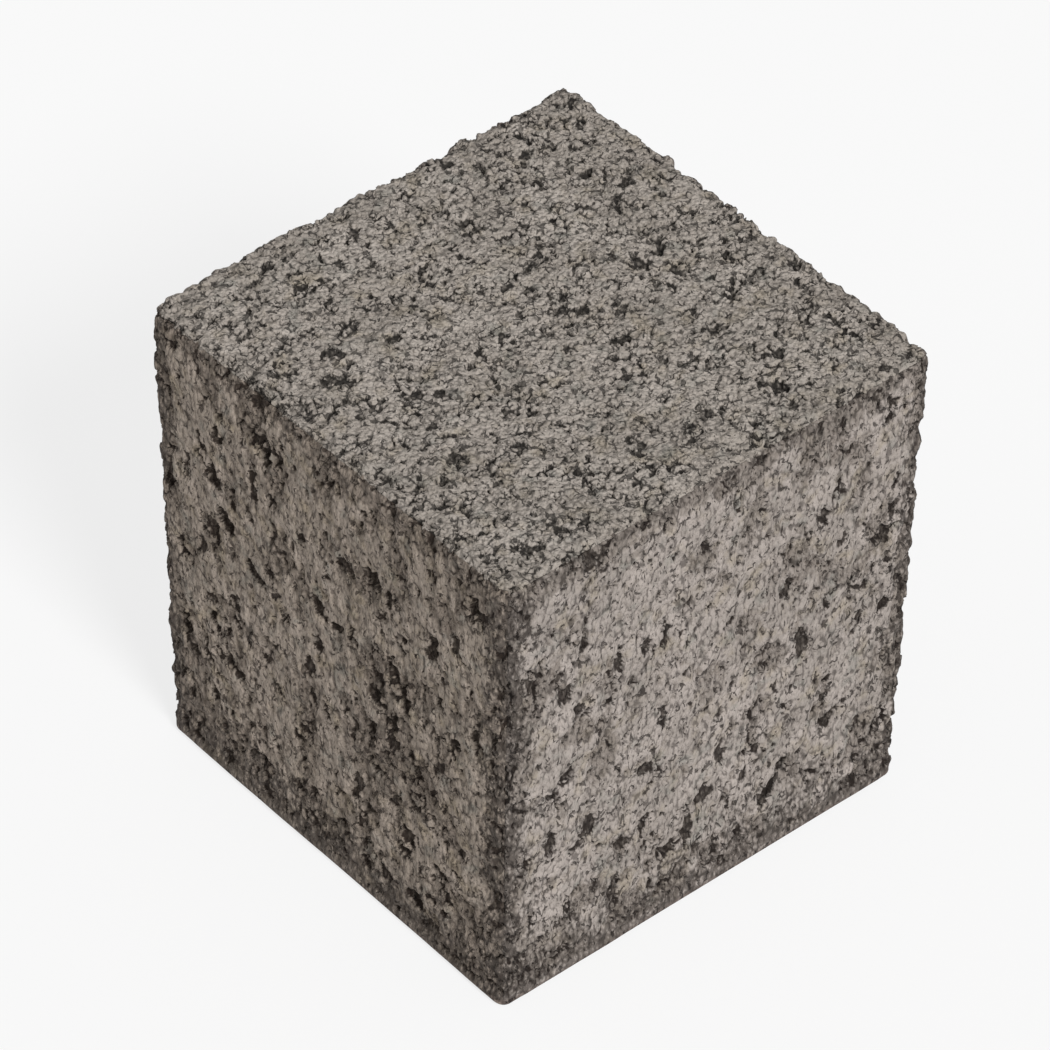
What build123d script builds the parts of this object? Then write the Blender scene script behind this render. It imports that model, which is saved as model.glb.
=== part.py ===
from build123d import *
import os
from dataclasses import dataclass

# Concrete cube: one block of dry-cast concrete, pressed in one piece in a steel mould.
# The model is in millimetres, +Z up, with its origin at the middle of the base.
# The mould has a slight draft, so the block is a little narrower at its base than at its top.
# The front face looks along -Y, the left face along -X, the back along +Y and the right along +X.

# Overall size, taken at the sharp corners that the rounded arrises leave out
TOP_SIDE = 100.0
HEIGHT = 104.0
# How far each side leans in between the top and the base
DRAFT = 2.0

# Arrises: the mould's corners, the crumbled rim of the open top and the smooth foot
CORNER_RADIUS = 4.0
RIM_RADIUS = 2.6
FOOT_RADIUS = 2.2

BASE_SIDE = TOP_SIDE - 2 * DRAFT

# The faces' planes, each from the face's middle. A wall's outward normal dips by the draft.
WALL_REACH = (TOP_SIDE + BASE_SIDE) / 4
FRONT = Plane(origin=(0, -WALL_REACH, HEIGHT / 2), x_dir=(1, 0, 0), z_dir=(0, -HEIGHT, -DRAFT))
LEFT = Plane(origin=(-WALL_REACH, 0, HEIGHT / 2), x_dir=(0, -1, 0), z_dir=(-HEIGHT, 0, -DRAFT))
BACK = Plane(origin=(0, WALL_REACH, HEIGHT / 2), x_dir=(-1, 0, 0), z_dir=(0, HEIGHT, -DRAFT))
RIGHT = Plane(origin=(WALL_REACH, 0, HEIGHT / 2), x_dir=(0, 1, 0), z_dir=(HEIGHT, 0, -DRAFT))
TOP = Plane.XY.offset(HEIGHT)

# The faces' half sizes, which the places of the voids are shares of
WALL_HALF = (WALL_REACH, HEIGHT / 2)
TOP_HALF = (TOP_SIDE / 2, TOP_SIDE / 2)


# The outline of a void, as shares of its half length and half width: a gap left between lumps of mix
VOID_OUTLINE = ((1.0, -0.1), (0.5, 0.8), (-0.3, 1.0), (-1.0, 0.3), (-0.7, -0.6), (0.25, -1.0))
# The angle that a void's sides close in by, from straight into the face
VOID_TAPER = 24.0
# How far above the face a void's cut starts
CUT_START = 0.4


@dataclass(frozen=True)
class Void:
    """A pocket left in a face where the dry mix didn't close.

    across and up are the shares of the face's half width and half height, from its middle.
    length, width and depth are millimetres, and turn is the angle of its long way in degrees.
    """

    across: float
    up: float
    length: float
    width: float
    depth: float
    turn: float

    def plane(self, face: Plane, half: tuple) -> Plane:
        """The plane of the void's mouth, a little off the face, its x axis along the void."""
        middle = Pos(self.across * half[0], self.up * half[1], CUT_START)
        return Plane(face.location * middle * Rot(Z=self.turn))

    def outline(self) -> list:
        """The corners of the void's mouth, in its plane."""
        return [(along * self.length / 2, aside * self.width / 2) for along, aside in VOID_OUTLINE]


# The largest voids only. The finer ones are part of the surface's grain.
FRONT_VOIDS = (
    Void(across=0.81, up=0.26, length=6.6, width=4.4, depth=2.2, turn=-35),
    Void(across=0.86, up=0.37, length=4.2, width=2.6, depth=1.1, turn=80),
    Void(across=0.83, up=-0.09, length=3.6, width=2.4, depth=1.1, turn=60),
    Void(across=0.71, up=0.07, length=4.4, width=2.6, depth=1.1, turn=-15),
    Void(across=0.30, up=-0.69, length=6.0, width=3.4, depth=1.6, turn=50),
    Void(across=0.38, up=-0.60, length=4.4, width=2.6, depth=1.2, turn=55),
    Void(across=0.21, up=-0.43, length=4.0, width=2.0, depth=0.9, turn=-8),
    Void(across=0.59, up=-0.51, length=4.6, width=2.4, depth=1.0, turn=48),
    Void(across=0.42, up=0.00, length=4.6, width=2.6, depth=1.1, turn=75),
    Void(across=0.34, up=0.28, length=4.4, width=2.0, depth=0.9, turn=55),
    Void(across=0.06, up=0.28, length=4.0, width=2.0, depth=1.0, turn=20),
    Void(across=-0.20, up=-0.68, length=4.8, width=3.0, depth=1.4, turn=5),
    Void(across=-0.33, up=-0.20, length=4.4, width=2.8, depth=1.3, turn=-30),
    Void(across=-0.72, up=0.38, length=5.0, width=2.6, depth=1.2, turn=82),
    Void(across=-0.64, up=-0.38, length=3.8, width=2.0, depth=0.9, turn=10),
)
LEFT_VOIDS = (
    Void(across=-0.64, up=0.44, length=5.6, width=3.0, depth=1.4, turn=-76),
    Void(across=-0.57, up=0.27, length=5.4, width=3.0, depth=1.4, turn=-70),
    Void(across=-0.41, up=0.15, length=5.8, width=3.2, depth=1.5, turn=-30),
    Void(across=-0.03, up=0.25, length=5.6, width=3.8, depth=1.9, turn=-40),
    Void(across=-0.66, up=-0.27, length=4.8, width=2.8, depth=1.2, turn=-50),
    Void(across=-0.80, up=-0.50, length=4.6, width=2.4, depth=1.1, turn=-60),
    Void(across=-0.30, up=-0.34, length=4.6, width=2.6, depth=1.1, turn=-55),
    Void(across=0.29, up=0.04, length=5.2, width=3.0, depth=1.3, turn=-60),
    Void(across=0.60, up=0.48, length=5.8, width=3.2, depth=1.3, turn=70),
    Void(across=0.50, up=-0.16, length=4.4, width=2.4, depth=1.1, turn=-50),
    Void(across=0.48, up=-0.76, length=5.4, width=3.6, depth=1.7, turn=-20),
    Void(across=0.06, up=-0.86, length=4.0, width=2.6, depth=1.2, turn=-30),
)
BACK_VOIDS = (
    Void(across=-0.62, up=0.55, length=5.4, width=3.0, depth=1.4, turn=-60),
    Void(across=0.28, up=0.34, length=5.8, width=3.6, depth=1.8, turn=35),
    Void(across=0.71, up=-0.12, length=4.6, width=2.6, depth=1.2, turn=70),
    Void(across=-0.18, up=-0.22, length=5.0, width=2.8, depth=1.3, turn=-25),
    Void(across=-0.70, up=-0.58, length=4.8, width=2.6, depth=1.2, turn=50),
    Void(across=0.36, up=-0.71, length=5.6, width=3.2, depth=1.6, turn=-40),
)
RIGHT_VOIDS = (
    Void(across=-0.47, up=0.61, length=4.8, width=2.8, depth=1.2, turn=30),
    Void(across=0.52, up=0.40, length=5.6, width=3.2, depth=1.5, turn=-55),
    Void(across=-0.12, up=0.07, length=6.0, width=3.8, depth=1.9, turn=-30),
    Void(across=-0.74, up=-0.24, length=4.6, width=2.6, depth=1.1, turn=65),
    Void(across=0.44, up=-0.48, length=5.0, width=3.0, depth=1.4, turn=-15),
    Void(across=-0.33, up=-0.74, length=5.2, width=3.0, depth=1.4, turn=45),
)
TOP_VOIDS = (
    Void(across=0.17, up=-0.22, length=4.8, width=3.2, depth=1.5, turn=-20),
    Void(across=0.45, up=-0.77, length=3.6, width=2.8, depth=1.4, turn=30),
    Void(across=0.70, up=0.56, length=3.2, width=2.0, depth=0.9, turn=15),
    Void(across=0.61, up=0.06, length=3.0, width=2.0, depth=0.9, turn=30),
    Void(across=0.17, up=0.62, length=3.2, width=2.0, depth=0.9, turn=20),
    Void(across=-0.53, up=0.70, length=3.4, width=2.2, depth=0.9, turn=10),
)

FACES = (
    (FRONT, WALL_HALF, FRONT_VOIDS),
    (LEFT, WALL_HALF, LEFT_VOIDS),
    (BACK, WALL_HALF, BACK_VOIDS),
    (RIGHT, WALL_HALF, RIGHT_VOIDS),
    (TOP, TOP_HALF, TOP_VOIDS),
)


with BuildPart() as concrete_cube:
    # The drafted block
    with BuildSketch(Plane.XY):
        Rectangle(BASE_SIDE, BASE_SIDE)
    with BuildSketch(TOP):
        Rectangle(TOP_SIDE, TOP_SIDE)
    loft()
    fillet(concrete_cube.edges().filter_by(Plane.XY, reverse=True), CORNER_RADIUS)
    fillet(concrete_cube.edges().group_by(Axis.Z)[-1], RIM_RADIUS)
    fillet(concrete_cube.edges().group_by(Axis.Z)[0], FOOT_RADIUS)

    # The voids
    for face, half, voids in FACES:
        for void in voids:
            with BuildSketch(void.plane(face, half)):
                Polygon(*void.outline(), align=None)
            extrude(amount=-(void.depth + CUT_START), taper=VOID_TAPER, mode=Mode.SUBTRACT)

concrete_cube.part.label = "concrete_cube"

os.makedirs("parts", exist_ok=True)
export_step(concrete_cube.part, "parts/concrete_cube.step")
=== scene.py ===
"""Looks of a dry-cast concrete cube: packed sand on its top, smeared and pitted cement on its walls.

The skin is six closed pieces, one for each face, which meet along the arrises and hold the pits, the large
voids and the crumbled rim. Joined meshes of sand grains stand out of it. Lengths are in millimetres until a
mesh is written in metres. The front wall looks along -Y, the left wall along -X, and the base is at Z = 0.
"""

import logging
import math
from dataclasses import dataclass, field
from enum import Enum, IntEnum

import bmesh
import bpy
import numpy as np
from mathutils import Matrix, Vector

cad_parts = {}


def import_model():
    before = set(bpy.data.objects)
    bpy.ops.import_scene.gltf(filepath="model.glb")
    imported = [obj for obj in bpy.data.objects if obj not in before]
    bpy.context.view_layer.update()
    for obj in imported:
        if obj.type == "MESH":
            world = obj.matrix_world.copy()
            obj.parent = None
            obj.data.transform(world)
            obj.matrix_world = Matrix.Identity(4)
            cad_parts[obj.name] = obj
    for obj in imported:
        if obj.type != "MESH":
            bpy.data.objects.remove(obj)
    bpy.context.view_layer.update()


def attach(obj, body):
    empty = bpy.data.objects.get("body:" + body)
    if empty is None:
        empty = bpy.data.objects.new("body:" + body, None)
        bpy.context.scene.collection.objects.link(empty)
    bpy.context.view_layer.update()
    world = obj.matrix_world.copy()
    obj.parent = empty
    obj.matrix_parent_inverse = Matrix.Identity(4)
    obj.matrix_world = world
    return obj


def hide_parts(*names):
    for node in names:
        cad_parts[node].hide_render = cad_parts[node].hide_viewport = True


log = logging.getLogger("concrete_cube")

MM = 0.001
NEAR = 1e-6
NODE = "concrete_cube"
BODY = "root"


class Face(Enum):
    """The block's faces, by their outward ways."""

    FRONT = (0, -1, 0)
    LEFT = (-1, 0, 0)
    BACK = (0, 1, 0)
    RIGHT = (1, 0, 0)
    TOP = (0, 0, 1)

    @property
    def outward(self) -> np.ndarray:
        """The face's outward way, without the draft."""
        return np.array(self.value, float)

    @property
    def across(self) -> np.ndarray:
        """The way to the right, as the face is looked at from outside."""
        return np.array((1, 0, 0), float) if self is Face.TOP else np.cross((0, 0, 1), self.outward)

    @property
    def upward(self) -> np.ndarray:
        """The way up the face, which on the top is towards the back."""
        return np.cross(self.outward, self.across)


class Pattern(IntEnum):
    """The noise pattern of each part of the relief, as a step from the relief's own seed."""

    SWELL = 0
    FINE_SWELL = 5
    CHIPS = 9
    FINE_CHIPS = 14
    CLUMPS = 18
    SMALL_PITS = 20
    PIT_CLUSTERS = 25
    FINE_PITS = 30
    VOID_FLOORS = 39
    VOID_EDGES = 40
    LUMPS = 45
    BEADS = 46
    BENDS = 60
    CREVICES = 70
    CREVICE_PATCHES = 77


class Noise:
    """Repeatable lattice noise, worked out for many points at once."""

    PRIMES = np.array((73856093, 19349663, 83492791), np.int64)
    SEED_STEP = 2654435761
    STIR = 1274126177
    RANGE = 1 << 24

    @classmethod
    def cell_number(cls, cells: np.ndarray, seed: int) -> np.ndarray:
        """A number from 0 to 1 for each whole-numbered cell.

        Args:
            cells: whole coordinates, one cell in each row.
            seed: picks a pattern.

        Returns:
            One number for each cell.
        """
        whole = cells.astype(np.int64)
        mixed = whole[:, 0] * cls.PRIMES[0] ^ whole[:, 1] * cls.PRIMES[1] ^ whole[:, 2] * cls.PRIMES[2]
        mixed = mixed + seed * cls.SEED_STEP
        mixed = (mixed ^ (mixed >> 15)) * cls.STIR
        mixed = (mixed ^ (mixed >> 13)) * cls.STIR
        mixed ^= mixed >> 16
        return (mixed & (cls.RANGE - 1)) / cls.RANGE

    @classmethod
    def smooth(cls, points: np.ndarray, width: float, seed: int) -> np.ndarray:
        """Smooth noise from -1 to 1.

        Args:
            points: places, one in each row.
            width: about how wide its lumps are.
            seed: picks a pattern.

        Returns:
            One number for each point.
        """
        place = points / width
        cell = np.floor(place)
        part = place - cell
        part = part * part * part * (part * (part * 6 - 15) + 10)
        total = np.zeros(len(points))
        for corner in np.ndindex(2, 2, 2):
            weight = np.ones(len(points))
            for axis, side in enumerate(corner):
                weight *= part[:, axis] if side else 1 - part[:, axis]
            total += weight * cls.cell_number(cell + corner, seed)
        return total * 2 - 1

    @classmethod
    def layered(cls, points: np.ndarray, width: float, seed: int, layers: int = 3) -> np.ndarray:
        """Smooth noise with finer and weaker layers on it.

        Args:
            points: places, one in each row.
            width: about how wide the coarsest lumps are.
            seed: picks a pattern.
            layers: how many layers there are, each half as wide and as strong as the last.

        Returns:
            One number for each point, from about -1 to 1.
        """
        total = np.zeros(len(points))
        for layer in range(layers):
            total += cls.smooth(points, width / 2**layer, seed + layer) / 2**layer
        return total / 1.5

    @staticmethod
    def neighbours(cell: np.ndarray) -> list[np.ndarray]:
        """The 27 cells in and around each point's own."""
        return [cell + step - 1 for step in np.ndindex(3, 3, 3)]

    @classmethod
    def spot_place(cls, cell: np.ndarray, seed: int) -> np.ndarray:
        """A chance place in each cell, from 0 to 1 along each axis."""
        return np.stack([cls.cell_number(cell, seed + axis) for axis in range(3)], axis=1)

    @classmethod
    def spots(cls, points: np.ndarray, spacing: float, radii: tuple[float, float], share: float,
              seed: int, edge: float) -> np.ndarray:
        """A scatter of round spots with soft edges.

        Args:
            points: places, one in each row.
            spacing: the size of the cells, each of which holds at most one spot.
            radii: the least and the largest radius of a spot.
            share: the share of the cells that hold a spot.
            seed: picks a pattern.
            edge: the width over which a spot fades out.

        Returns:
            0 outside the spots, and up to the spot's own radius inside.
        """
        best = np.zeros(len(points))
        for near in cls.neighbours(np.floor(points / spacing)):
            middle = (near + 0.15 + 0.7 * cls.spot_place(near, seed)) * spacing
            radius = radii[0] + (radii[1] - radii[0]) * cls.cell_number(near, seed + 3) ** 2
            gap = np.sqrt(((points - middle) ** 2).sum(axis=1))
            spot = np.clip((radius - gap) / edge, 0, 1) * radius
            best = np.maximum(best, np.where(cls.cell_number(near, seed + 4) < share, spot, 0))
        return best

    @classmethod
    def border(cls, points: np.ndarray, width: float, seed: int) -> np.ndarray:
        """How deep in its clump each point is, where clumps are packed side by side.

        Args:
            points: places, one in each row.
            width: about how wide a clump is.
            seed: picks a pattern.

        Returns:
            How much further the next clump's middle is than the point's own, as a share of the width. It is
            0 on a border.
        """
        place = points / width
        near = np.full(len(points), np.inf)
        after = np.full(len(points), np.inf)
        for cell in cls.neighbours(np.floor(place)):
            middle = cell + cls.spot_place(cell, seed)
            gap = np.sqrt(((place - middle) ** 2).sum(axis=1))
            after = np.minimum(after, np.maximum(near, gap))
            near = np.minimum(near, gap)
        return after - near


@dataclass(frozen=True)
class Void:
    """A large void of a face. across and up are shares of the face's half width and half height."""

    face: Face
    across: float
    up: float
    length: float
    width: float
    depth: float
    turn: float


VOIDS = {
    Face.FRONT: (
        (0.81, 0.26, 6.6, 4.4, 2.4, -35), (0.86, 0.37, 4.2, 2.6, 1.4, 80),
        (0.83, -0.09, 3.6, 2.4, 1.4, 60), (0.71, 0.07, 4.4, 2.6, 1.2, -15),
        (0.55, 0.62, 4.8, 1.6, 0.9, 70), (0.30, -0.69, 6.0, 3.4, 2.2, 50),
        (0.38, -0.60, 4.4, 2.6, 1.4, 55), (0.21, -0.43, 4.0, 2.0, 1.2, -8),
        (0.59, -0.51, 4.6, 2.4, 1.2, 48), (0.57, -0.29, 3.0, 1.8, 1.0, 60),
        (0.42, 0.00, 4.6, 2.6, 1.2, 75), (0.34, 0.28, 4.4, 1.8, 1.0, 55),
        (0.06, 0.28, 4.0, 1.8, 1.1, 20), (-0.17, 0.46, 3.6, 1.6, 0.9, 35),
        (-0.27, 0.37, 2.8, 1.6, 1.0, 60), (-0.20, -0.68, 4.8, 3.0, 1.7, 5),
        (-0.05, -0.73, 3.6, 1.8, 0.9, 70), (0.13, -0.86, 3.6, 2.0, 1.0, 65),
        (-0.33, -0.20, 4.4, 2.8, 1.5, -30), (0.03, -0.15, 3.2, 2.4, 0.8, 10),
        (-0.72, 0.38, 5.0, 2.6, 1.3, 82), (-0.76, 0.49, 3.2, 1.8, 0.9, 40),
        (-0.64, -0.38, 3.6, 1.6, 0.9, 10), (0.84, -0.72, 3.4, 2.0, 1.0, 60),
    ),
    Face.LEFT: (
        (-0.64, 0.44, 6.2, 3.0, 1.6, -76), (-0.57, 0.27, 5.6, 3.0, 1.6, -70),
        (-0.41, 0.15, 5.8, 3.2, 1.6, -30), (-0.03, 0.25, 5.6, 3.8, 2.1, -40),
        (0.07, 0.21, 3.2, 2.4, 1.4, 20), (-0.66, -0.27, 4.8, 2.8, 1.4, -50),
        (-0.80, -0.50, 4.6, 2.4, 1.2, -60), (-0.52, -0.43, 4.4, 2.4, 1.2, -40),
        (-0.30, -0.34, 4.6, 2.6, 1.3, -55), (-0.18, -0.48, 4.4, 2.6, 1.3, -60),
        (0.29, 0.04, 5.2, 3.0, 1.5, -60), (0.30, 0.56, 3.6, 2.4, 1.1, 80),
        (0.60, 0.48, 5.8, 3.2, 1.4, 70), (0.72, 0.11, 4.2, 2.2, 1.2, -20),
        (0.50, -0.16, 4.4, 2.4, 1.2, -50), (0.48, -0.34, 4.2, 2.2, 1.2, -20),
        (0.42, -0.62, 4.4, 2.6, 1.3, -30), (0.48, -0.80, 5.4, 3.6, 1.9, -20),
        (0.20, -0.84, 4.2, 2.4, 1.3, -40), (0.06, -0.86, 4.0, 2.6, 1.4, -30),
        (0.62, -0.57, 4.0, 2.4, 1.2, -30),
    ),
    Face.TOP: (
        (0.17, -0.22, 4.8, 3.2, 1.9, -20), (0.45, -0.77, 3.6, 2.8, 1.8, 30),
        (0.70, 0.56, 3.2, 2.0, 1.3, 15), (0.77, 0.43, 3.0, 1.8, 1.2, 40),
        (0.61, 0.06, 3.0, 2.0, 1.2, 30), (0.78, -0.12, 2.8, 1.8, 1.1, 0),
        (0.17, 0.62, 3.0, 1.8, 1.2, 20), (-0.53, 0.88, 3.2, 1.8, 1.2, 10),
        (-0.93, -0.27, 4.4, 2.8, 1.1, -35), (-0.53, 0.70, 3.4, 2.2, 1.2, 10),
    ),
    Face.BACK: (
        (-0.62, 0.55, 5.4, 3.0, 1.6, -60), (0.28, 0.34, 5.8, 3.6, 2.0, 35),
        (0.71, -0.12, 4.6, 2.6, 1.3, 70), (-0.18, -0.22, 5.0, 2.8, 1.5, -25),
        (-0.70, -0.58, 4.8, 2.6, 1.3, 50), (0.36, -0.71, 5.6, 3.2, 1.8, -40),
    ),
    Face.RIGHT: (
        (-0.47, 0.61, 4.8, 2.8, 1.3, 30), (0.52, 0.40, 5.6, 3.2, 1.6, -55),
        (-0.12, 0.07, 6.0, 3.8, 2.1, -30), (-0.74, -0.24, 4.6, 2.6, 1.2, 65),
        (0.44, -0.48, 5.0, 3.0, 1.5, -15), (-0.33, -0.74, 5.2, 3.0, 1.6, 45),
    ),
}


@dataclass(frozen=True)
class Block:
    """The pressed block as a smooth shape: its drafted sides and its rounded arrises."""

    half: float = 50.0
    height: float = 104.0
    draft: float = 2.0
    corner_radius: float = 4.0
    foot_corner_radius: float = 2.2
    rim_radius: float = 2.6
    foot_radius: float = 1.3
    arris_width: float = 4.2
    drawn_down: float = 0.45

    def side_at(self, z: np.ndarray) -> np.ndarray:
        """The side's half width at a height."""
        return self.half - self.draft * (1 - z / self.height)

    def sharp(self, face: Face, shares: np.ndarray) -> np.ndarray:
        """Places on a face of the block before its draft and its rounding.

        Args:
            face: the face.
            shares: how far across and up the face each place lies, from -1 to 1.

        Returns:
            The points, as rounded() takes them.
        """
        points = face.outward + shares[:, :1] * face.across + shares[:, 1:] * face.upward
        points[:, 2] = self.height if face is Face.TOP else (shares[:, 1] + 1) / 2 * self.height
        return points

    def rounded(self, sharp: np.ndarray) -> tuple[np.ndarray, np.ndarray]:
        """Moves points of the sharp block onto its rounded surface.

        Args:
            sharp: points whose x and y run from -1 to 1 over the block's width, and z from 0 to its height.

        Returns:
            The points on the rounded block, and the outward normals there.
        """
        z = sharp[:, 2]
        side = self.side_at(z)
        flat = sharp[:, :2] * side[:, None]
        sign = np.where(flat < 0, -1, 1)
        inset = side - np.max(np.abs(flat), axis=1)
        radius = self.foot_corner_radius + (self.corner_radius - self.foot_corner_radius) * z / self.height
        inner = (side - radius)[:, None]
        over = np.abs(flat) - inner
        in_corner = np.all(over > 0, axis=1)[:, None]
        ray = over / np.maximum(np.linalg.norm(over, axis=1), NEAR)[:, None]
        wide = np.abs(flat[:, 0]) >= np.abs(flat[:, 1])
        way = np.where(in_corner, ray, np.stack([wide, ~wide], axis=1)) * sign
        arc = (inner + ray * np.maximum(radius - inset, 0)[:, None]) * sign
        place = np.where(in_corner, arc, flat)
        normal = np.concatenate([way, np.zeros((len(sharp), 1))], axis=1)
        height = z.copy()
        for level, radius, up in ((self.height, self.rim_radius, 1), (0.0, self.foot_radius, -1)):
            depth = np.abs(level - z)
            on_cap = (depth < NEAR) & (inset > NEAR)
            bent = np.where(on_cap, inset, depth) < radius
            out_part = np.where(on_cap, radius - inset, radius)
            up_part = np.where(on_cap, radius, radius - depth)
            size = np.hypot(out_part, up_part)
            shift = radius * out_part / size - out_part
            place = np.where(bent[:, None], place + way * shift[:, None], place)
            height = np.where(bent, level + up * radius * (up_part / size - 1), height)
            turned = np.column_stack([way * (out_part / size)[:, None], up * up_part / size])
            normal = np.where(bent[:, None], turned, normal)
            normal = np.where((on_cap & ~bent)[:, None], np.array((0.0, 0.0, up)), normal)
        return np.column_stack([place, height]), normal

    def arris_nearness(self, points: np.ndarray) -> np.ndarray:
        """How near places are to a vertical arris or the rim.

        Args:
            points: places, one in each row.

        Returns:
            From 1 on the arris down to 0 some millimetres away.
        """
        side = self.side_at(points[:, 2])[:, None]
        gaps = np.concatenate([side - np.abs(points[:, :2]), self.height - points[:, 2:]], axis=1)
        second = np.sort(np.maximum(gaps, 0), axis=1)[:, 1]
        return np.exp(-((second / self.arris_width) ** 2))


@dataclass(frozen=True)
class Site:
    """Places on the smooth block: bent and drawn-down copies, and from 0 to 1 the zones they are in."""

    points: np.ndarray
    normals: np.ndarray
    bends: np.ndarray
    drawn: np.ndarray
    top: np.ndarray
    base: np.ndarray
    left: np.ndarray
    above_strip: np.ndarray
    foot: np.ndarray
    arris: np.ndarray


@dataclass
class Relief:
    """The block's real surface over its smooth shape: clumps, crevices, pits, voids and worn arrises."""

    block: Block = field(default_factory=Block)
    seed: int = 11
    hidden_voids: int = 12
    foot_strip: float = 2.4
    foot_band: float = 14.0
    bend_width: float = 1.6
    clump_width: float = 6.5
    clump_squash: float = 0.75
    clod_width: float = 2.3
    crevice_slope: float = 0.11
    crevice_depth: float = 0.75
    pit_cluster_width: float = 9.0
    small_pit_depth: float = 0.85
    fine_pit_depth: float = 0.6
    void_bend: float = 0.9
    void_edge_width: float = 2.4
    void_floor_width: float = 1.1
    void_deepening: float = 1.3
    swell_width: float = 26
    swell_rise: float = 0.25
    fine_swell_width: float = 8
    fine_swell_rise: float = 0.16
    chip_width: float = 4.5
    chip_rise: float = 0.55
    fine_chip_width: float = 1.9
    fine_chip_rise: float = 0.4
    lump_width: float = 2.1
    lump_rise: float = 0.34
    bead_width: float = 1.05
    bead_rise: float = 0.40
    full_void: float = 0.7
    full_pit: float = 0.45
    voids: list[Void] = field(default_factory=list)

    def __post_init__(self) -> None:
        """Lists the large voids, with more on the two walls that the photograph doesn't show."""
        self.voids += [Void(face, *sizes) for face, rows in VOIDS.items() for sizes in rows]
        draw = np.random.default_rng(self.seed)
        for face in (Face.BACK, Face.RIGHT):
            for _ in range(self.hidden_voids):
                across, up = draw.uniform(-0.85, 0.85, 2)
                length = draw.uniform(3.0, 4.8)
                width = length * draw.uniform(0.45, 0.7)
                self.voids.append(Void(face, across, up, length, width, width / 2, draw.uniform(-80, 80)))

    def openness(self, site: Site) -> np.ndarray:
        """How open the mix is.

        Args:
            site: the places.

        Returns:
            From 0 under a skin of cement to 1 where its sand is bare.
        """
        squashed = site.points * np.array((1.0, 1.0, self.clump_squash)) + site.bends * 1.4
        clumps = Noise.layered(squashed, self.clump_width, self.seed + Pattern.CLUMPS, 5)
        reach = clumps + 1.1 * site.arris + 0.45 * site.foot + 0.14 * site.left - 0.08
        return np.clip(reach / 0.32, 0, 1) * site.above_strip

    def crevices(self, site: Site, open_mix: np.ndarray) -> np.ndarray:
        """Gaps between the clods of mix.

        Args:
            site: the places.
            open_mix: how open the mix is there.

        Returns:
            From 0 to 1, how far each place is down a crevice.
        """
        border = Noise.border(site.drawn + site.bends * 0.8, self.clod_width, self.seed + Pattern.CREVICES)
        patches = Noise.layered(site.points + site.bends * 0.5, self.clod_width,
                                self.seed + Pattern.CREVICE_PATCHES, 2)
        wall = 1 - site.top - site.base
        reach = 0.30 * patches + 0.11 * site.top + 0.13 * open_mix * wall - 0.03
        down = np.clip((np.clip(reach, 0, 0.32) - border) / self.crevice_slope, 0, 1)
        return down * (1 - site.base) * site.above_strip

    def pits(self, site: Site) -> np.ndarray:
        """How far pits sink each place: small ones in clusters, and fine ones on the walls alone.

        Args:
            site: the places.

        Returns:
            The depth in millimetres, 0 outside the pits.
        """
        clusters = Noise.layered(site.points, self.pit_cluster_width, self.seed + Pattern.PIT_CLUSTERS, 2)
        small = Noise.spots(site.drawn + site.bends * 1.5, spacing=3.4, radii=(0.5, 1.8), share=0.5,
                            seed=self.seed + Pattern.SMALL_PITS, edge=0.35)
        small *= 0.35 + 0.65 * np.clip(0.5 + 1.6 * clusters, 0, 1)
        fine = Noise.spots(site.drawn + site.bends * 0.8, spacing=1.7, radii=(0.3, 0.7), share=0.25,
                           seed=self.seed + Pattern.FINE_PITS, edge=0.3)
        depth = self.small_pit_depth * small * (1 - 0.5 * site.top)
        depth += self.fine_pit_depth * fine * (1 - site.top)
        return depth * (1 - site.base) * site.above_strip

    def void_depth(self, site: Site) -> np.ndarray:
        """How far the large voids sink each place, in bowls with ragged edges and rough floors.

        Args:
            site: the places.

        Returns:
            The depth in millimetres, 0 outside the voids.
        """
        points = site.points + site.bends * self.void_bend
        block = self.block
        sunk = np.zeros(len(points))
        for number, void in enumerate(self.voids):
            on_top = void.face is Face.TOP
            half_width = block.half if on_top else block.half - block.draft / 2
            half_height = block.half if on_top else block.height / 2
            lift = 0.0 if on_top else block.height / 2
            right = points @ void.face.across - void.across * half_width
            rise = points @ void.face.upward - lift - void.up * half_height
            close = (site.normals @ void.face.outward > 0.6) & (np.hypot(right, rise) < void.length)
            if not close.any():
                continue
            turn = math.radians(void.turn)
            along = right[close] * math.cos(turn) + rise[close] * math.sin(turn)
            aside = rise[close] * math.cos(turn) - right[close] * math.sin(turn)
            seed = self.seed + Pattern.VOID_EDGES + number
            edge = Noise.layered(points[close], self.void_edge_width, seed, 4)
            gap = np.hypot(along / (void.length / 2), aside / (void.width / 2)) + 0.75 * edge
            floor = Noise.smooth(points[close], self.void_floor_width, self.seed + Pattern.VOID_FLOORS)
            bowl = np.clip((1.1 - gap) * 1.7, 0, 1) ** 0.8
            bowl *= self.void_deepening * (0.85 + 0.3 * floor)
            sunk[close] = np.maximum(sunk[close], void.depth * bowl)
        return sunk

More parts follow.
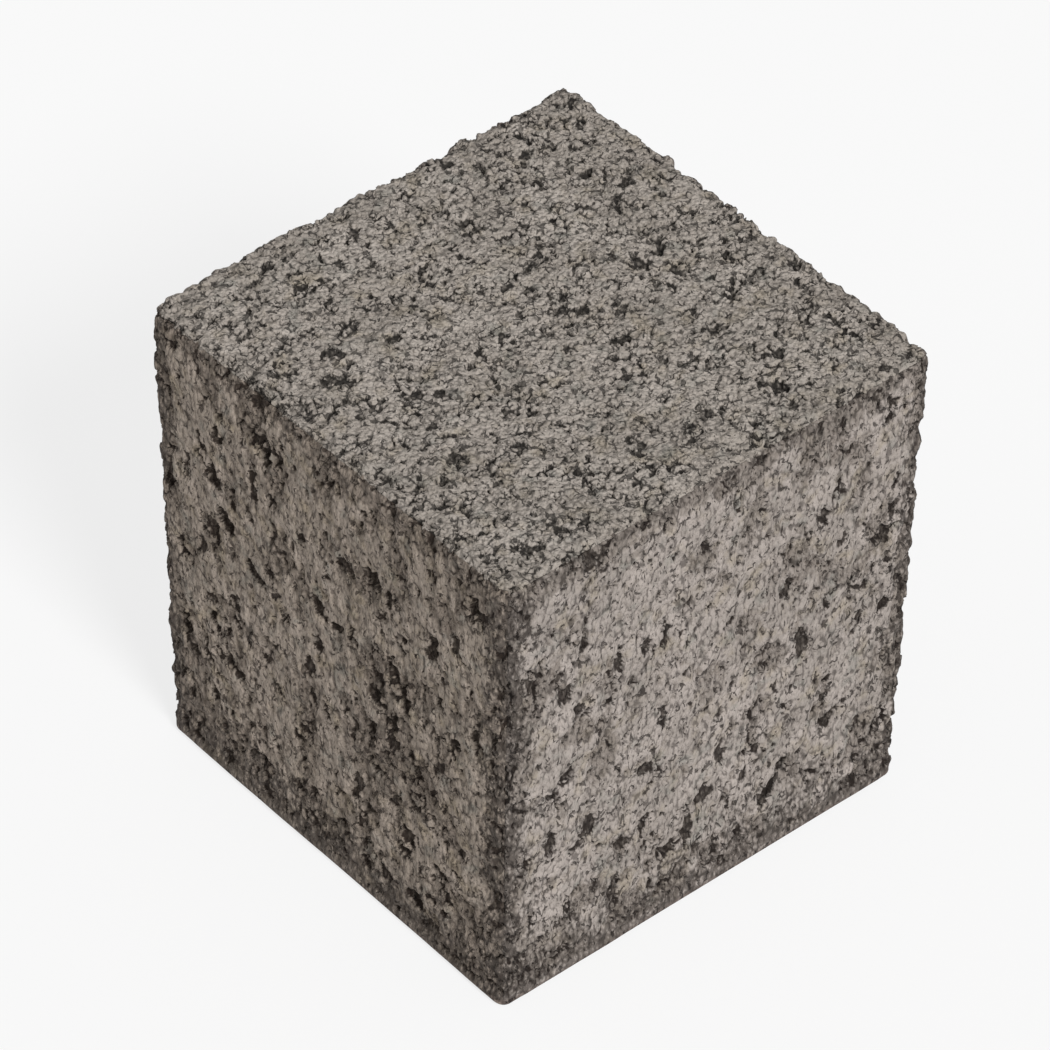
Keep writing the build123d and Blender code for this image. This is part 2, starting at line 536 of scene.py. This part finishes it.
    def at(self, points: np.ndarray, normals: np.ndarray) -> tuple[np.ndarray, np.ndarray, np.ndarray]:
        """The real surface over the smooth one.

        Args:
            points: places on the smooth surface.
            normals: the outward normals there.

        Returns:
            The height in millimetres, under 0 where mix is missing, then from 0 to 1 how deep it lies in a
            void, pit or crevice, which the finishes paint as shade, and how open the mix is, with its sand
            bare.
        """
        seed = self.seed
        bends = [Noise.layered(points, self.bend_width, seed + Pattern.BENDS + axis) for axis in range(3)]
        site = Site(points, normals, bends=np.stack(bends, axis=1),
                    drawn=points * np.array((1.0, 1.0, self.block.drawn_down)),
                    top=np.clip(normals[:, 2] * 1.8 - 0.4, 0, 1), base=np.clip(-normals[:, 2] * 1.5, 0, 1),
                    left=np.clip(-normals[:, 0], 0, 1),
                    above_strip=np.clip((points[:, 2] - self.foot_strip) / 0.8, 0, 1),
                    foot=np.exp(-((points[:, 2] / self.foot_band) ** 2)),
                    arris=self.block.arris_nearness(points))
        open_mix = self.openness(site)
        crevice = self.crevices(site, open_mix)
        pits = self.pits(site)
        voids = self.void_depth(site)
        swell = self.swell_rise * Noise.layered(points, self.swell_width, seed + Pattern.SWELL)
        ripple = Noise.smooth(points, self.fine_swell_width, seed + Pattern.FINE_SWELL)
        swell += self.fine_swell_rise * ripple
        chipped = self.chip_rise * Noise.layered(points, self.chip_width, seed + Pattern.CHIPS) - 0.25
        flakes = Noise.smooth(points, self.fine_chip_width, seed + Pattern.FINE_CHIPS)
        chipped += self.fine_chip_rise * flakes
        bent = site.drawn + site.bends * 0.3
        lumps = self.lump_rise * Noise.smooth(bent, self.lump_width, seed + Pattern.LUMPS)
        lumps *= 1 - 0.5 * site.top
        lumps += self.bead_rise * Noise.smooth(bent, self.bead_width, seed + Pattern.BEADS)
        rough = 0.7 + 0.6 * open_mix - 0.3 * site.arris + 0.8 * np.clip(voids, 0, 1)
        height = (swell + site.arris * chipped) * (1 - site.base)
        height += lumps * rough * site.above_strip * (1 - site.base)
        height += 0.1 - 0.26 * open_mix * (1 - site.top) - 0.30 * site.top - 0.1 * site.base
        height -= self.crevice_depth * crevice + pits + voids
        # How deep each place lies in a void, pit or crevice, which the finishes darken as painted shade.
        deepest = np.maximum(np.maximum(voids / self.full_void, pits / self.full_pit), crevice)
        return height, np.clip(deepest, 0, 1), open_mix


def add_piece(name: str, points: np.ndarray, groups: list[np.ndarray], values: dict[str, np.ndarray],
              flat_faces: int = 0) -> bpy.types.Object:
    """Makes a mesh object from arrays.

    Args:
        name: the object's name.
        points: the vertices, in millimetres.
        groups: arrays of faces, each with one number of corners.
        values: number attributes to store on the vertices, by name.
        flat_faces: how many of the last faces are shaded flat.

    Returns:
        The object, linked to the scene.
    """
    corners = np.concatenate([group.ravel() for group in groups]).astype(np.int32)
    counts = np.concatenate([np.full(len(group), group.shape[1]) for group in groups])
    starts = (np.cumsum(counts) - counts).astype(np.int32)
    mesh = bpy.data.meshes.new(name)
    mesh.vertices.add(len(points))
    mesh.vertices.foreach_set("co", (points * MM).astype(np.float32).ravel())
    mesh.loops.add(len(corners))
    mesh.loops.foreach_set("vertex_index", corners)
    mesh.polygons.add(len(counts))
    mesh.polygons.foreach_set("loop_start", starts)
    smooth = np.arange(len(counts)) < len(counts) - flat_faces
    mesh.polygons.foreach_set("use_smooth", smooth)
    mesh.update(calc_edges=True)
    for label, numbers in values.items():
        layer = mesh.attributes.new(label, "FLOAT", "POINT")
        layer.data.foreach_set("value", numbers.astype(np.float32))
    mesh.validate()
    piece = bpy.data.objects.new(name, mesh)
    bpy.context.scene.collection.objects.link(piece)
    return piece


@dataclass
class Skin:
    """The block's surface, in one closed piece for each face, on one lattice that they share."""

    relief: Relief
    columns: int = 276
    rows: int = 286
    apex_depth: float = 14.0
    foot_rings: tuple[float, ...] = (0.0, 1.1, 2.2)

    def lattice(self, face: Face) -> tuple[np.ndarray, np.ndarray, tuple[int, int]]:
        """The points of a face on the sharp block.

        Args:
            face: the face to cover.

        Returns:
            The points, the faces between them, and the numbers of points across and up.
        """
        rows = self.columns if face is Face.TOP else self.rows
        across, up = np.meshgrid(np.linspace(-1, 1, self.columns + 1), np.linspace(-1, 1, rows + 1))
        points = self.relief.block.sharp(face, np.stack([across.ravel(), up.ravel()], axis=1))
        wide = self.columns + 1
        start = (np.arange(rows)[:, None] * wide + np.arange(self.columns)).ravel()
        quads = np.stack([start, start + 1, start + wide + 1, start + wide], axis=1)
        return points, quads, (wide, rows + 1)

    @staticmethod
    def border(wide: int, tall: int) -> np.ndarray:
        """The numbers of a lattice's outermost points, once round it against the clock."""
        grid = np.arange(wide * tall).reshape(tall, wide)
        return np.concatenate([grid[0, :-1], grid[:-1, -1], grid[-1, :0:-1], grid[:0:-1, 0]])

    def relieved(self, sharp: np.ndarray) -> tuple[np.ndarray, dict[str, np.ndarray]]:
        """Moves points of the sharp block onto its real surface.

        Args:
            sharp: points of the sharp block.

        Returns:
            The points, and by name the values that the finish takes there.
        """
        points, normals = self.relief.block.rounded(sharp)
        height, hollow_shade, open_mix = self.relief.at(points, normals)
        return points + normals * height[:, None], {"hollow_shade": hollow_shade, "open": open_mix}

    def face_piece(self, face: Face) -> bpy.types.Object:
        """Makes one face of the skin, closed behind by a low pyramid.

        Args:
            face: the face to cover.

        Returns:
            The piece.
        """
        sharp, quads, size = self.lattice(face)
        points, values = self.relieved(sharp)
        rim = self.border(*size)
        middle = points.mean(axis=0) - face.outward * self.apex_depth
        apex = len(points)
        fan = np.stack([np.roll(rim, -1), rim, np.full(len(rim), apex)], axis=1)
        points = np.concatenate([points, middle[None]])
        values = {label: np.append(numbers, 0) for label, numbers in values.items()}
        return add_piece(f"{face.name.lower()}_skin", points, [quads, fan], values, len(fan))

    def base_piece(self) -> bpy.types.Object:
        """Makes the flat base with the inner half of the foot's rounding.

        Returns:
            The piece, closed behind by a low pyramid.
        """
        share = np.linspace(-1, 1, self.columns + 1)[:-1]
        ones = np.ones(self.columns)
        sides = ((share, -ones), (ones, share), (-share, ones), (-ones, -share))
        around = np.concatenate([np.stack(side, axis=1) for side in sides])
        half = self.relief.block.half - self.relief.block.draft
        rings = []
        for inset in self.foot_rings:
            flat = around * (1 - inset / half)
            rings.append(self.relieved(np.column_stack([flat, np.zeros(len(flat))]))[0])
        count = len(around)
        here = np.arange(count)
        after = np.roll(here, -1)
        bands = []
        for start in range(0, (len(rings) - 1) * count, count):
            inner = start + count
            bands.append(np.stack([here + start, here + inner, after + inner, after + start], axis=1))
        last = (len(rings) - 1) * count
        points = np.concatenate([*rings, np.array(((0.0, 0.0, 0.0), (0.0, 0.0, self.apex_depth)))])
        under = np.stack([after + last, here + last, np.full(count, len(points) - 2)], axis=1)
        behind = np.stack([here, after, np.full(count, len(points) - 1)], axis=1)
        values = {label: np.zeros(len(points)) for label in ("hollow_shade", "open")}
        return add_piece("base_skin", points, [*bands, under, behind], values, 2 * count)


@dataclass(frozen=True)
class GrainRun:
    """A scatter of sand grains over one face."""

    face: Face
    seed: int
    share: float = 0.6
    only_open: bool = True
    spacing: float = 1.35
    row_pitch: float = 0.87
    stray: float = 0.2
    radii: tuple[float, float] = (0.4, 0.7)
    flatness: tuple[float, float] = (0.5, 0.8)
    bumpiness: float = 0.11
    tilt: float = 0.28
    lift: float = -0.24
    lift_spread: float = 0.12


SAND_RUNS = (
    GrainRun(Face.FRONT, 301),
    GrainRun(Face.LEFT, 302),
    GrainRun(Face.BACK, 303),
    GrainRun(Face.RIGHT, 304),
    GrainRun(Face.TOP, 305, share=0.8, only_open=False),
)


@dataclass
class Sand:
    """Grains of sand that stand out of the block, in one joined mesh for each face."""

    relief: Relief
    least_open: float = 0.6
    most_hollow: float = 0.3
    arris_sink: float = 0.2

    @staticmethod
    def pebble() -> tuple[np.ndarray, np.ndarray]:
        """Makes a pebble of radius 1.

        Returns:
            Its points, and its 20 triangles.
        """
        shape = bmesh.new()
        bmesh.ops.create_icosphere(shape, subdivisions=1, radius=1.0)
        points = np.array([vertex.co for vertex in shape.verts])
        triangles = np.array([[vertex.index for vertex in face.verts] for face in shape.faces])
        shape.free()
        return points, triangles

    def places(self, run: GrainRun, draw: np.random.Generator) -> tuple[np.ndarray, np.ndarray]:
        """Places on the smooth surface, close together but not in rows.

        Args:
            run: the face and the spacing.
            draw: where chance comes from.

        Returns:
            The places, and the normals there.
        """
        half = self.relief.block.half
        across = np.arange(-half, half, run.spacing)
        up = np.arange(-half, half, run.spacing * run.row_pitch)
        right, rise = np.meshgrid(across, up)
        right[1::2] += run.spacing / 2
        spots = np.stack([right.ravel(), rise.ravel()], axis=1)
        spots += draw.normal(0, run.spacing * run.stray, spots.shape)
        spots = np.clip(spots / half, -1, 1)
        spots = spots[draw.random(len(spots)) < run.share]
        return self.relief.block.rounded(self.relief.block.sharp(run.face, spots))

    @staticmethod
    def axes(normals: np.ndarray, spin: np.ndarray, tilt: np.ndarray) -> np.ndarray:
        """The three ways along each grain.

        Args:
            normals: the ways out of the block.
            spin: how far each grain is turned about its normal.
            tilt: how far its long way leans out.

        Returns:
            For each grain its long way, its short way and its flat way.
        """
        side = np.cross(normals, np.array((0.31, 0.17, 0.93)))
        side /= np.linalg.norm(side, axis=1)[:, None]
        other = np.cross(normals, side)
        first = side * np.cos(spin)[:, None] + other * np.sin(spin)[:, None] + normals * tilt
        first /= np.linalg.norm(first, axis=1)[:, None]
        second = np.cross(normals, first)
        second /= np.linalg.norm(second, axis=1)[:, None]
        return np.stack([first, second, np.cross(first, second)], axis=1)

    def scatter(self, run: GrainRun) -> bpy.types.Object:
        """Makes one piece with all the grains of a run.

        Args:
            run: the face, the sizes and the seed.

        Returns:
            The piece, with the values that the face's finish takes at each vertex.
        """
        draw = np.random.default_rng(run.seed)
        points, normals = self.places(run, draw)
        height, hollow_shade, open_mix = self.relief.at(points, normals)
        keep = hollow_shade < self.most_hollow
        if run.only_open:
            keep &= open_mix > self.least_open
        points, normals, height, open_mix = points[keep], normals[keep], height[keep], open_mix[keep]
        shape, triangles = self.pebble()
        count = len(points)
        radius = draw.uniform(*run.radii, count)
        thick = radius * draw.uniform(*run.flatness, count)
        long, wide = radius * draw.uniform(0.85, 1.2, count), radius * draw.uniform(0.85, 1.1, count)
        bumpy = 1 + draw.normal(0, run.bumpiness, (count, len(shape)))
        local = shape[None] * bumpy[:, :, None] * np.stack([long, wide, thick], axis=1)[:, None]
        spin = draw.uniform(0, 2 * math.pi, count)
        tilt = draw.normal(0, run.tilt, (count, 2))[:, :1]
        spun = np.einsum("nki,nij->nkj", local, self.axes(normals, spin, tilt))
        lift = height + run.lift + draw.normal(0, run.lift_spread, count) - 0.35 * (thick - np.mean(thick))
        lift -= self.arris_sink * self.relief.block.arris_nearness(points)
        middle = points + normals * lift[:, None]
        corners = (middle[:, None] + spun).reshape(-1, 3)
        faces = (triangles[None] + (np.arange(count) * len(shape))[:, None, None]).reshape(-1, 3)
        rise = np.einsum("nkj,nj->nk", spun, normals) / thick[:, None]
        # Painted shade on the lower side of each grain, darkest at its underside.
        low = np.clip(0.1 - 0.8 * rise, 0, 1)
        values = {"hollow_shade": low.ravel(), "open": np.repeat(open_mix, len(shape))}
        return add_piece(f"{run.face.name.lower()}_sand", corners, [faces], values)


class Wire:
    """A value in a node tree that Python's operators work on."""

    def __init__(self, nodes: "Nodes", socket: bpy.types.NodeSocket) -> None:
        """Keeps the tree and the socket that the value comes out of."""
        self.nodes = nodes
        self.socket = socket

    def beside(self, out: "int | str") -> "Wire":
        """Another output of the node that the value comes out of."""
        return Wire(self.nodes, self.socket.node.outputs[out])

    def _math(self, operation: str, *values: "Wire | float") -> "Wire":
        """A Math node on some values."""
        return self.nodes.add("ShaderNodeMath", {"operation": operation}, *values)

    def __add__(self, other: "Wire | float") -> "Wire":
        """The sum."""
        return self._math("ADD", self, other)

    def __radd__(self, other: float) -> "Wire":
        """The sum with a number on the left."""
        return self._math("ADD", other, self)

    def __sub__(self, other: "Wire | float") -> "Wire":
        """The difference."""
        return self._math("SUBTRACT", self, other)

    def __rsub__(self, other: float) -> "Wire":
        """The difference from a number."""
        return self._math("SUBTRACT", other, self)

    def __mul__(self, other: "Wire | float") -> "Wire":
        """The product."""
        return self._math("MULTIPLY", self, other)

    def __rmul__(self, other: float) -> "Wire":
        """The product with a number on the left."""
        return self._math("MULTIPLY", other, self)

    def size(self) -> "Wire":
        """The value without its sign."""
        return self._math("ABSOLUTE", self)

    def most(self, other: "Wire | float") -> "Wire":
        """The larger of the two."""
        return self._math("MAXIMUM", self, other)

    def ramp(self, low: float, high: float) -> "Wire":
        """A smooth slope between two values.

        Args:
            low: where the result is 0.
            high: where the result is 1, which may be under low.

        Returns:
            The result, held at 0 and at 1 beyond the two.
        """
        first, last = (0.0, 1.0) if low < high else (1.0, 0.0)
        ends = (min(low, high), max(low, high), first, last)
        return self.nodes.add("ShaderNodeMapRange", {"interpolation_type": "SMOOTHSTEP"}, self, *ends)


class Nodes:
    """The node tree of a material or a world, and the nodes that are added to it."""

    def __init__(self, owner: "bpy.types.Material | bpy.types.World") -> None:
        """Empties the owner's tree.

        Args:
            owner: the material or the world.
        """
        owner.use_nodes = True
        self.tree = owner.node_tree
        self.tree.nodes.clear()

    def add(self, kind: str, settings: dict | None = None, *values: "Wire | float | tuple | None",
            out: int = 0, **named: "Wire | float | tuple") -> Wire:
        """Adds a node.

        Args:
            kind: the node's type.
            settings: the node's own settings, which are set before its sockets.
            values: what goes into its sockets, in their order, with None for a socket that is left alone.
            out: which of its outputs the result is.
            named: what goes into sockets by name, with _ for a space.

        Returns:
            The chosen output.
        """
        node = self.tree.nodes.new(kind)
        for key, value in (settings or {}).items():
            setattr(node, key, value)
        pairs = list(zip(node.inputs, values))
        pairs += [(node.inputs[key.replace("_", " ")], value) for key, value in named.items()]
        for socket, value in pairs:
            if isinstance(value, Wire):
                self.tree.links.new(value.socket, socket)
            elif value is not None:
                socket.default_value = value
        return Wire(self, node.outputs[out])

    def finish(self, shader: Wire, end: str = "ShaderNodeOutputMaterial") -> None:
        """Sends a shader to the surface."""
        self.tree.links.new(shader.socket, self.tree.nodes.new(end).inputs["Surface"])

    def place(self) -> Wire:
        """The place on the object, in metres."""
        return self.add("ShaderNodeTexCoord", out=3)

    def seen(self) -> Wire:
        """Tells the camera's view, straight or by gloss or glass, from the light's.

        Returns:
            1 for what the camera sees, and 0 for what light meets.
        """
        rays = self.add("ShaderNodeLightPath")
        direct, gloss = rays.beside("Is Camera Ray"), rays.beside("Is Glossy Ray")
        return direct.most(gloss).most(rays.beside("Is Transmission Ray"))

    def scaled(self, vector: Wire, by: tuple[float, float, float]) -> Wire:
        """A vector stretched along each axis."""
        return self.add("ShaderNodeVectorMath", {"operation": "MULTIPLY"}, vector, by)

    def noise(self, vector: Wire, lump: float, detail: float = 3.0, rough: float = 0.55) -> Wire:
        """Noise from 0 to 1.

        Args:
            vector: the place.
            lump: about how wide its lumps are, in millimetres.
            detail: how many finer layers it has.
            rough: how strong each layer is beside the last.

        Returns:
            The noise.
        """
        return self.add("ShaderNodeTexNoise", {"noise_dimensions": "3D"}, Vector=vector,
                        Scale=1 / (lump * MM), Detail=detail, Roughness=rough)

    def grains(self, vector: Wire, size: float, bend: float, feature: str = "F1") -> Wire:
        """Grains packed side by side.

        Args:
            vector: the place.
            size: about how wide a grain is, in millimetres.
            bend: how far its outline is bent, as a share of the size.
            feature: F1 for the distance from a grain's middle, DISTANCE_TO_EDGE for that from its edge.

        Returns:
            The distance, as a share of the size.
        """
        width = size * MM
        push = self.add("ShaderNodeTexNoise", None, Vector=vector, Scale=0.9 / width, Detail=2.0, out=1)
        push = self.scaled(push, (width * bend,) * 3)
        moved = self.add("ShaderNodeVectorMath", {"operation": "ADD"}, vector, push)
        return self.add("ShaderNodeTexVoronoi", {"feature": feature}, Vector=moved, Scale=1 / width)

    def mix(self, share: Wire, first: "Wire | tuple", second: "Wire | tuple") -> Wire:
        """A blend of two colours.

        Args:
            share: how much of the second there is.
            first: a colour.
            second: another colour.

        Returns:
            The blend.
        """
        unused = (None,) * 5
        return self.add("ShaderNodeMix", {"data_type": "RGBA"}, share, *unused, first, second, out=2)

    def attribute(self, name: str) -> Wire:
        """A number stored on the mesh."""
        return self.add("ShaderNodeAttribute", {"attribute_name": name}, out=2)


def tint(red: int, green: int, blue: int) -> tuple[float, float, float, float]:
    """Turns a colour's screen values into the linear ones that shaders take.

    Args:
        red: from 0 to 255.
        green: from 0 to 255.
        blue: from 0 to 255.

    Returns:
        The linear red, green and blue, and 1 for opaque.
    """
    shares = [value / 255 for value in (red, green, blue)]
    linear = [share / 12.92 if share <= 0.04045 else ((share + 0.055) / 1.055) ** 2.4 for share in shares]
    return (*linear, 1.0)


@dataclass(frozen=True)
class CastFinish:
    """Dry-cast concrete: grains fused by cement paste, drawn down the walls, with painted shade in the gaps
    and hollows.
    """

    name: str
    pale: tuple = tint(180, 170, 163)
    middle: tuple = tint(157, 148, 141)
    sandy: tuple = tint(122, 113, 105)
    # Painted shade: the dark colour that the lows, gaps and hollows are darkened towards.
    pit_shade: tuple = tint(36, 29, 25)
    arris: tuple = tint(82, 75, 70)
    # Painted shade on the foot's rounded underside, in a browner tone.
    underside_shade: tuple = tint(112, 98, 91)
    warm: tuple = tint(160, 147, 124)
    cool: tuple = tint(128, 129, 122)
    grain: float = 0.85
    bend: float = 1.15
    depth: float = 0.0008
    bareness: float = 0.75
    grain_shade: float = 0.62
    gap_start: float = 0.54
    drawn_down: float = 0.54
    edged: bool = True
    block: Block = field(default_factory=Block)

    def ground(self, nodes: Nodes, place: Wire) -> tuple[Wire, Wire]:
        """The fine relief.

        Args:
            nodes: the material's nodes.
            place: the place on the object.

        Returns:
            The relief's height from about 0 to 1, and from 0 to 1 how far a spot lies in a fine gap.
        """
        strokes = nodes.scaled(place, (1.0, 1.0, self.drawn_down))
        lump = 1 - nodes.grains(strokes, self.grain, self.bend)
        speck = nodes.noise(strokes, 0.55, 3.0, 0.65)
        edge = nodes.grains(strokes, self.grain * 2.0, self.bend, "DISTANCE_TO_EDGE")
        width = (nodes.noise(place, 1.5, 2.0, 0.6) - self.gap_start) * 0.9
        gap = (width - edge).ramp(-0.03, 0.05)
        return lump * 0.55 + speck * 0.45, gap

    def edges(self, nodes: Nodes, place: Wire, shift: Wire, colour: Wire) -> Wire:
        """Darkens a wall where its arrises, its rim and its foot are bare, and paints shade on the foot's
        rounded underside.

        Args:
            nodes: the material's nodes.
            place: the place on the object.
            shift: how far the dark bands' outlines wander, in metres.
            colour: the wall's colour.

        Returns:
            The darkened colour.
        """
        x = nodes.add("ShaderNodeSeparateXYZ", None, place)
        y, z = x.beside(1), x.beside(2)
        height = self.block.height * MM
        side = self.block.half * MM - self.block.draft * MM * (1 - z * (1 / height))
        inset = (side - x.size()).most(side - y.size())
        colour = nodes.mix((inset + shift).ramp(0.0070, 0.0020) * 0.80, colour, self.arris)
        colour = nodes.mix((height - z + shift).ramp(0.005, 0.000) * 0.5, colour, self.arris)
        colour = nodes.mix((z + shift * 2.2).ramp(0.018, 0.003) * 0.75, colour, self.arris)
        # Painted shade on the foot's rounded underside, below about 2 mm.
        return nodes.mix(z.ramp(0.0020, 0.0012) * 0.6, colour, self.underside_shade)

    def material(self) -> bpy.types.Material:
        """Makes the finish as a material.

        Returns:
            The material.
        """
        material = bpy.data.materials.new(self.name)
        nodes = Nodes(material)
        place = nodes.place()
        cloud = nodes.noise(place, 3.6, 4.0, 0.65)
        ground, gap = self.ground(nodes, place)
        smear = (cloud * 0.6 + nodes.noise(place, 15.0, 2.0) * 0.5).ramp(0.44, 0.68)
        colour = nodes.mix(smear, self.middle, self.pale)
        colour = nodes.mix(nodes.noise(place, 5.5).ramp(0.50, 0.72) * 0.45, colour, self.warm)
        mirrored = nodes.scaled(place, (-1.0, 1.0, 1.0))
        colour = nodes.mix(nodes.noise(mirrored, 4.2).ramp(0.54, 0.74) * 0.5, colour, self.cool)
        bare = (nodes.attribute("open") * 0.7 + (cloud - 0.5) * 0.9).ramp(0.15, 0.85)
        colour = nodes.mix(bare * self.bareness, colour, self.sandy)
        if self.edged:
            colour = self.edges(nodes, place, (cloud - 0.5) * 0.018 + (ground - 0.45) * 0.012, colour)
        # Painted shade: the lows of the fine relief are darkened towards the shade colour.
        colour = nodes.mix(ground.ramp(0.52, 0.30) * self.grain_shade, colour, self.pit_shade)
        colour = nodes.mix(ground.ramp(0.56, 0.74) * 0.42, colour, self.pale)
        # Painted shade in the fine gaps between the grains.
        colour = nodes.mix(gap * 0.75, colour, self.pit_shade)
        # Painted shade in the voids, pits and crevices and on the grains' lower sides, mottled with the
        # sandy colour.
        hollow_shade = (nodes.attribute("hollow_shade") - (ground - 0.45) * 0.9).ramp(0.30, 0.80)
        inside = nodes.mix(ground.ramp(0.42, 0.74) * 0.5, self.pit_shade, self.sandy)
        colour = nodes.mix(hollow_shade * 0.94, colour, inside)
        relief = ground - gap * 0.6 + nodes.noise(place, 0.22, 1.0) * 0.15
        bump = nodes.add("ShaderNodeBump", None, Strength=1.0, Distance=self.depth, Height=relief)
        shader = nodes.add("ShaderNodeBsdfPrincipled", None, Base_Color=colour,
                           Roughness=0.86 + ground * 0.12, Normal=bump, Specular_IOR_Level=0.25)
        nodes.finish(shader)
        return material


FINISHES = {
    Face.FRONT: CastFinish("front_cement"),
    Face.LEFT: CastFinish("left_cement", pale=tint(174, 161, 149), middle=tint(154, 142, 130),
                          sandy=tint(120, 109, 99), pit_shade=tint(45, 36, 30), warm=tint(158, 143, 117)),
    Face.BACK: CastFinish("back_cement"),
    Face.RIGHT: CastFinish("right_cement"),
    Face.TOP: CastFinish("packed_sand", pale=tint(189, 180, 171), middle=tint(172, 163, 154),
                         sandy=tint(148, 140, 131), pit_shade=tint(36, 33, 30), bend=0.8, bareness=0.40,
                         grain_shade=0.52, gap_start=0.50, drawn_down=1.0, edged=False),
}


@dataclass(frozen=True)
class Studio:
    """The pale floor, the soft light and the camera, in metres and degrees."""

    aim: tuple = (0.0, 0.0, 0.052)
    azimuth: float = -41.10
    elevation: float = 42.19
    roll: float = 0.99
    distance: float = 1.1866
    aside: float = -0.00195
    above: float = 0.00342
    lens: float = 223.7
    white: tuple = (1.0, 1.0, 1.0, 1.0)
    fill: float = 0.36
    key_strength: float = 2.5
    key_from: tuple = (-0.15, -0.74, 0.65)
    key_softness: float = 18.0
    floor_colour: tuple = (0.86, 0.86, 0.86, 1.0)
    floor_glow: float = 0.78
    floor_reach: float = 3.0
    floor_drop: float = 0.0001

    def camera(self) -> None:
        """Adds the camera at the photograph's viewing angle."""
        azimuth, elevation, roll = map(math.radians, (self.azimuth, self.elevation, self.roll))
        back = Vector((math.sin(azimuth) * math.cos(elevation), -math.cos(azimuth) * math.cos(elevation),
                       math.sin(elevation)))
        level = Vector((math.cos(azimuth), math.sin(azimuth), 0.0))
        rise = back.cross(level)
        right = level * math.cos(roll) + rise * math.sin(roll)
        up = rise * math.cos(roll) - level * math.sin(roll)
        place = Vector(self.aim) + back * self.distance + right * self.aside + up * self.above
        lens = bpy.data.cameras.new("camera")
        lens.lens = self.lens
        lens.clip_start = 0.01
        camera = bpy.data.objects.new("camera", lens)
        turn = Matrix((right, up, back)).transposed().to_4x4()
        camera.matrix_world = Matrix.Translation(place) @ turn
        bpy.context.scene.collection.objects.link(camera)
        bpy.context.scene.camera = camera

    def light(self) -> None:
        """Adds the soft key light and the even fill of the world, which the camera sees as white."""
        sun = bpy.data.lights.new("key", "SUN")
        sun.energy = self.key_strength
        sun.angle = math.radians(self.key_softness)
        key = bpy.data.objects.new("key", sun)
        key.rotation_euler = Vector(self.key_from).to_track_quat("Z", "Y").to_euler()
        bpy.context.scene.collection.objects.link(key)
        world = bpy.data.worlds.new("studio")
        nodes = Nodes(world)
        even = nodes.add("ShaderNodeBackground", None, self.white, self.fill)
        backdrop = nodes.add("ShaderNodeBackground", None, self.white, 1.0)
        shader = nodes.add("ShaderNodeMixShader", None, nodes.seen(), even, backdrop)
        nodes.finish(shader, "ShaderNodeOutputWorld")
        bpy.context.scene.world = world

    def floor(self) -> None:
        """Adds the floor, just under the base, white to the camera but for part of the block's shadow."""
        mesh = bpy.data.meshes.new("floor")
        corners = [(x * self.floor_reach, y * self.floor_reach, -self.floor_drop)
                   for x, y in ((-1, -1), (1, -1), (1, 1), (-1, 1))]
        mesh.from_pydata(corners, [], [(0, 1, 2, 3)])
        floor = bpy.data.objects.new("floor", mesh)
        bpy.context.scene.collection.objects.link(floor)
        material = bpy.data.materials.new("floor")
        nodes = Nodes(material)
        matte = nodes.add("ShaderNodeBsdfDiffuse", None, self.floor_colour)
        glow = nodes.add("ShaderNodeEmission", None, self.white, 1.0)
        nodes.finish(nodes.add("ShaderNodeMixShader", None, nodes.seen() * self.floor_glow, matte, glow))
        mesh.materials.append(material)

    def build(self) -> None:
        """Builds the whole studio."""
        self.camera()
        self.light()
        self.floor()
        bpy.context.scene.view_settings.view_transform = "Standard"


def dress(piece: bpy.types.Object, material: bpy.types.Material) -> None:
    """Gives a piece its finish and puts it on the block's body in place of the plain solid.

    Args:
        piece: the piece.
        material: its finish.
    """
    piece.data.materials.append(material)
    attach(piece, BODY)
    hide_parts(NODE)
    triangles = len(piece.data.loops) - 2 * len(piece.data.polygons)
    log.info("%s: %d triangles", piece.name, triangles)


def build_block() -> None:
    """Builds the skin and the sand, and dresses them."""
    relief = Relief()
    skin = Skin(relief)
    sand = Sand(relief)
    for run in SAND_RUNS:
        material = FINISHES[run.face].material()
        dress(skin.face_piece(run.face), material)
        dress(sand.scatter(run), material)
    dress(skin.base_piece(), CastFinish("base_cement").material())


def main() -> None:
    """Builds the object in its studio."""
    logging.basicConfig(level=logging.INFO, format="%(name)s: %(message)s")
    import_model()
    build_block()
    Studio().build()


if __name__ == "__main__":
    main()
